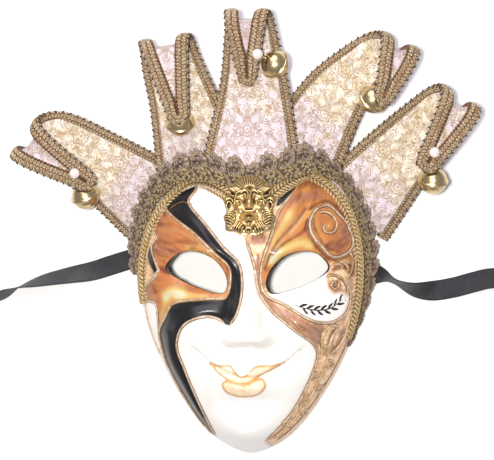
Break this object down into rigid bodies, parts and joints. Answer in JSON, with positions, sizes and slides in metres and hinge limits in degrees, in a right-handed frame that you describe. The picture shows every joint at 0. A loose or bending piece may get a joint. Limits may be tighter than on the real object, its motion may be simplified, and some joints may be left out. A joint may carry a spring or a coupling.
{
  "type": "venetian jester mask",
  "caption": "Full-face papier-mache carnival mask lying face up, with a crown of folded brocade points, bells, braid, lace, a lion medallion and satin ribbon ties.",
  "frame": {"origin": "middle of the mask's own box, without its ribbons, on the surface it lies on", "axes": "+Z out of the face, up as it lies; +Y towards the crown of points; +X to the right as seen from the front"},
  "size_m": [0.5505, 0.3188, 0.0786],
  "materials": {
    "painted_papier_mache": "lacquered, painted in white, copper orange and black with gold cordons",
    "brocade": "cream damask",
    "point_braid": "gold and brown metallic braid",
    "bell_brass": "bright, slightly antiqued",
    "pearl": "pearly",
    "metallic_lace": "dark gold and grey metallic thread",
    "gold_braid": "glittering gold braid",
    "medallion_brass": "antiqued",
    "satin_ribbon": "black satin"
  },
  "bodies": {
    "root": {"face_shell": "painted_papier_mache", "point_1": "brocade", "point_2": "brocade", "point_3": "brocade", "point_4": "brocade", "point_5": "brocade", "point_braid_1": "point_braid", "point_braid_2": "point_braid", "point_braid_3": "point_braid", "point_braid_4": "point_braid", "point_braid_5": "point_braid", "bell_1": "bell_brass", "bell_2": "bell_brass", "bell_3": "bell_brass", "bell_4": "bell_brass", "bell_5": "bell_brass", "pearl_1": "pearl", "pearl_3": "pearl", "pearl_5": "pearl", "lace_trim": "metallic_lace", "gold_braid": "gold_braid", "lion_medallion": "medallion_brass", "ribbon_left": "satin_ribbon", "ribbon_coil_left": "satin_ribbon", "ribbon_right": "satin_ribbon", "ribbon_coil_right": "satin_ribbon"}
  },
  "joints": []
}
